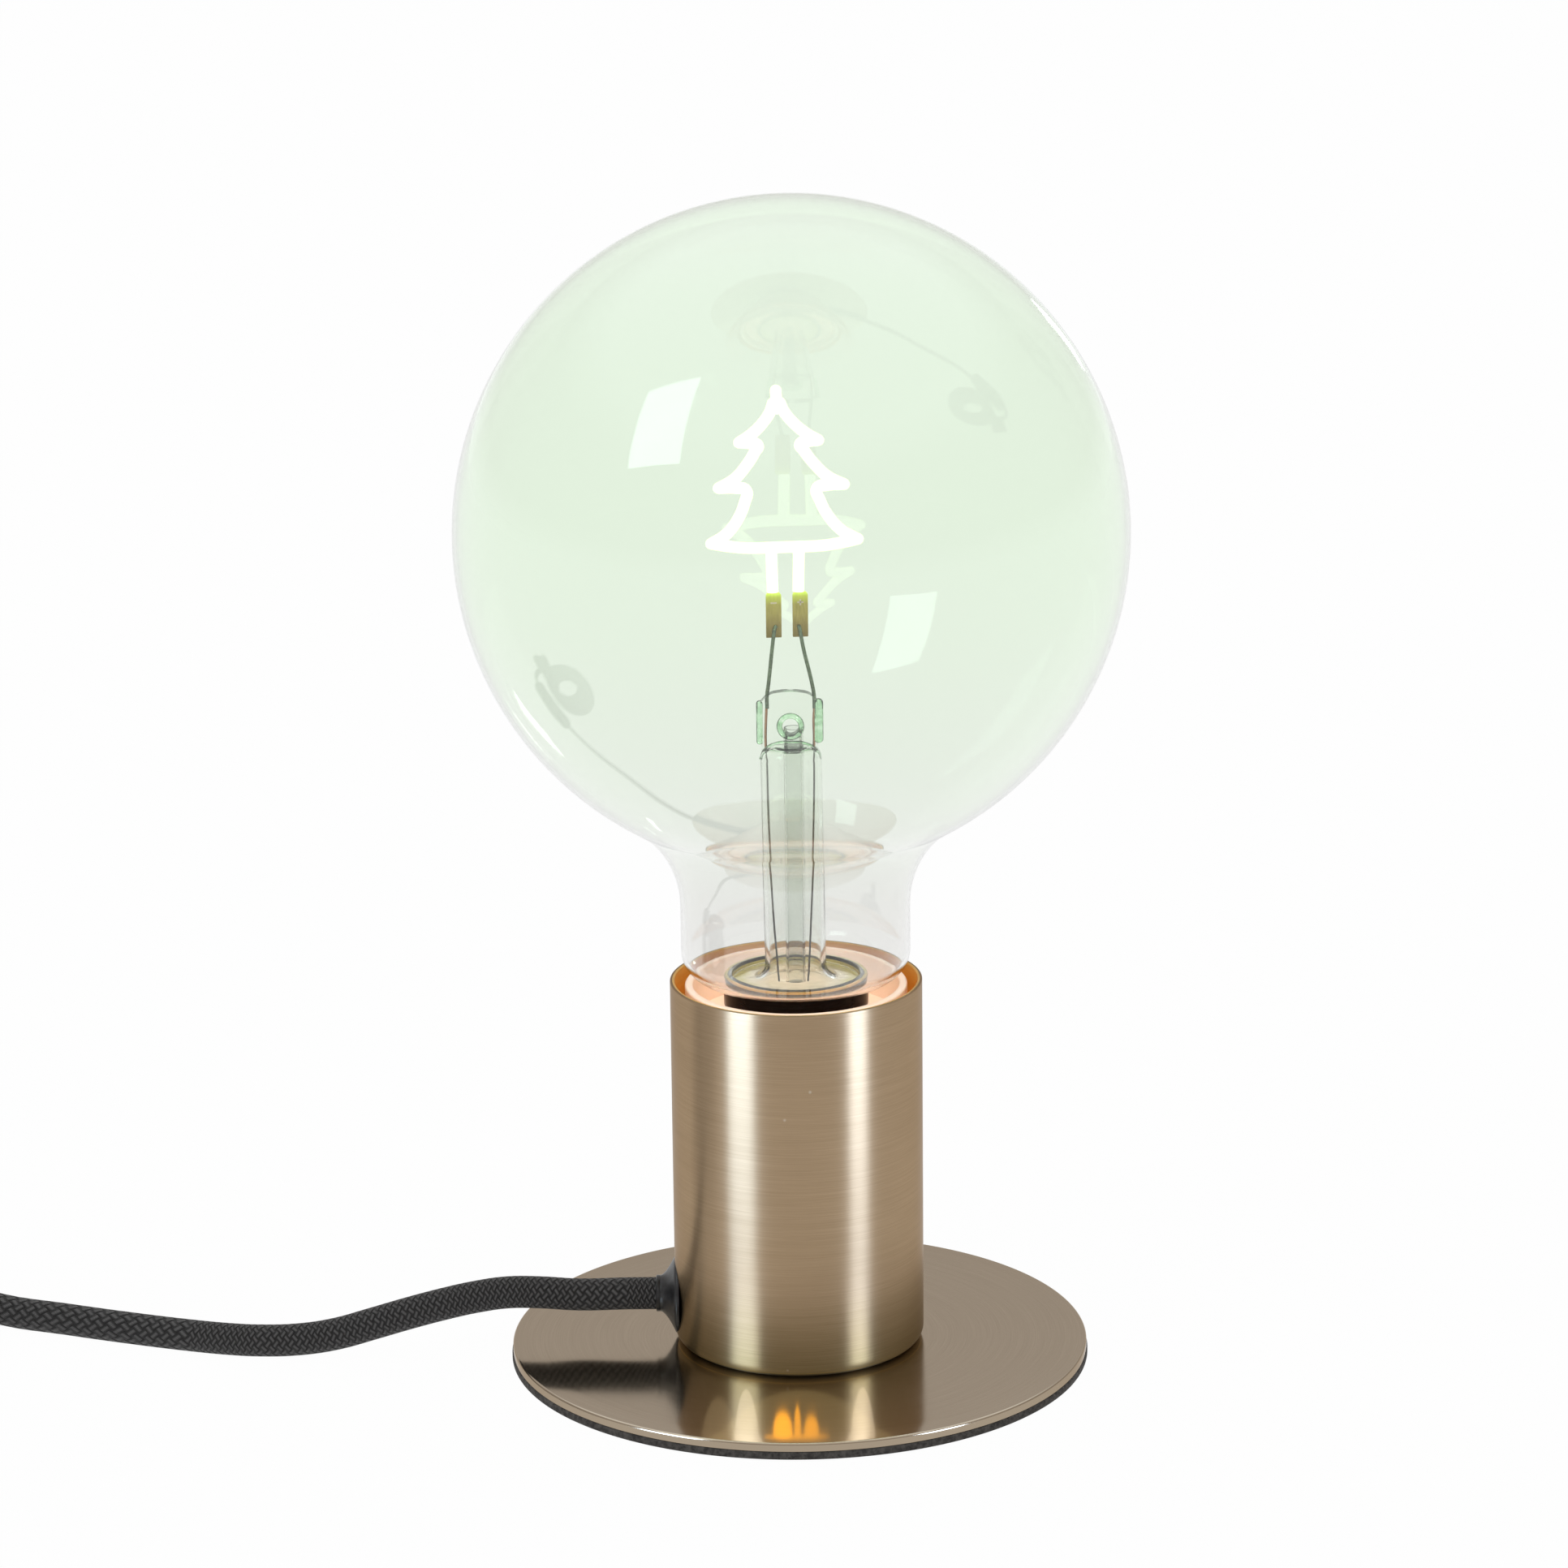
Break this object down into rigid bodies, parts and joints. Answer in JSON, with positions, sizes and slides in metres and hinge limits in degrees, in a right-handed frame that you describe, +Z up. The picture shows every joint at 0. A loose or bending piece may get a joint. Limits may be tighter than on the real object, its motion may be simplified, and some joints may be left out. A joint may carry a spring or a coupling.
{
  "type": "table lamp",
  "caption": "Small table lamp: round brass base plate and cup around a lampholder, with a large clear globe bulb that holds a tree-shaped light filament, and a textile cord.",
  "frame": {"origin": "centre of the base pad's underside, on the table", "axes": "+Z up along the bulb's axis, the cord leaves the cup towards -X, -Y is the side that faces the viewer"},
  "size_m": [0.3502, 0.1265, 0.2231],
  "materials": {
    "plate_brass": "round-brushed satin",
    "cup_brass": "brushed round the cup",
    "pad_foam": "matt foam",
    "zinc_steel": "bright zinc",
    "grommet_black": "satin moulded",
    "cord_textile": "braided textile",
    "wire_brown": "wire insulation",
    "wire_blue": "wire insulation",
    "porcelain": "glazed",
    "contact_brass": "pressed strip",
    "globe_glass": "clear blown",
    "stem_glass": "clear flame-worked",
    "lead_wire": "oxidised wire",
    "copper_wire": "bare copper-coated",
    "tab_gold": "plated",
    "filament_light": "glowing phosphor coating",
    "cap_nickel": "nickel plated",
    "cap_black": "black glass insulator",
    "cement_yellow": "cured cement",
    "board_green": "lacquered board",
    "driver_dark": "moulded components",
    "switch_black": "moulded",
    "rocker_black": "polished",
    "tie_black": "hook-and-loop strap",
    "plug_black": "moulded",
    "pin_nickel": "nickel plated"
  },
  "bodies": {
    "lamp": {"base_plate": "plate_brass", "base_pad": "pad_foam", "nipple": "zinc_steel", "lock_washer": "zinc_steel", "nipple_nut": "zinc_steel", "cup": "cup_brass", "cord_grommet": "grommet_black", "grommet_nut": "grommet_black", "cord_inner": "cord_textile", "live_core": "wire_brown", "neutral_core": "wire_blue", "holder_dome": "porcelain", "holder_lock_screw": "zinc_steel", "holder_insert": "porcelain", "holder_skirt": "porcelain", "thread_sleeve": "contact_brass", "terminal_blocks": "contact_brass", "terminal_screws": "zinc_steel", "centre_contact": "contact_brass", "side_contact": "contact_brass", "cord_run": "cord_textile", "switch_base": "switch_black", "switch_cover": "switch_black", "switch_axle": "zinc_steel", "switch_posts": "contact_brass", "switch_screws": "zinc_steel", "cord_link": "cord_textile", "cord_coil": "cord_textile", "cord_tail": "cord_textile", "cord_tie": "tie_black", "plug_body": "plug_black", "plug_pins": "pin_nickel", "pin_sleeves": "plug_black"},
    "bulb_contact": {"cap_contact": "pin_nickel"},
    "bulb": {"bulb_glass": "globe_glass", "stem_glass": "stem_glass", "exhaust_tube": "stem_glass", "stem_leads": "lead_wire", "seal_leads": "copper_wire", "support_wires": "lead_wire", "filament_tabs": "tab_gold", "filament": "filament_light", "cap_shell": "cap_nickel", "cap_insulator": "cap_black", "cap_cement": "cement_yellow", "driver_board": "board_green", "driver_parts": "driver_dark", "cap_leads": "copper_wire"},
    "rocker": {"switch_rocker": "rocker_black", "switch_plunger": "zinc_steel"},
    "rocking_contact": {"switch_seesaw": "contact_brass"}
  },
  "joints": [
    {"name": "bulb_rise", "type": "slide", "parent": "lamp", "child": "bulb_contact", "axis": [0, 0, 1], "range_m": [0, 0.0146]},
    {"name": "bulb_turn", "type": "hinge", "parent": "bulb_contact", "child": "bulb", "pos_m": [0, 0, 0.06], "axis": [0, 0, 1], "range_deg": [0, 1440]},
    {"name": "switch_press", "type": "hinge", "parent": "lamp", "child": "rocker", "pos_m": [-0.20339, 0.03707, 0.0134], "axis": [-0.3811, -0.9245, 0], "range_deg": [0, 20]},
    {"name": "switch_tip", "type": "hinge", "parent": "lamp", "child": "rocking_contact", "pos_m": [-0.20339, 0.03707, 0.0046], "axis": [-0.3811, -0.9245, 0], "range_deg": [-14, 0]}
  ],
  "couplings": [
    {"joint": "bulb_rise", "follows": "bulb_turn", "m_per_rad": 0.00057751},
    {"joint": "switch_tip", "follows": "switch_press", "ratio": -0.7}
  ]
}
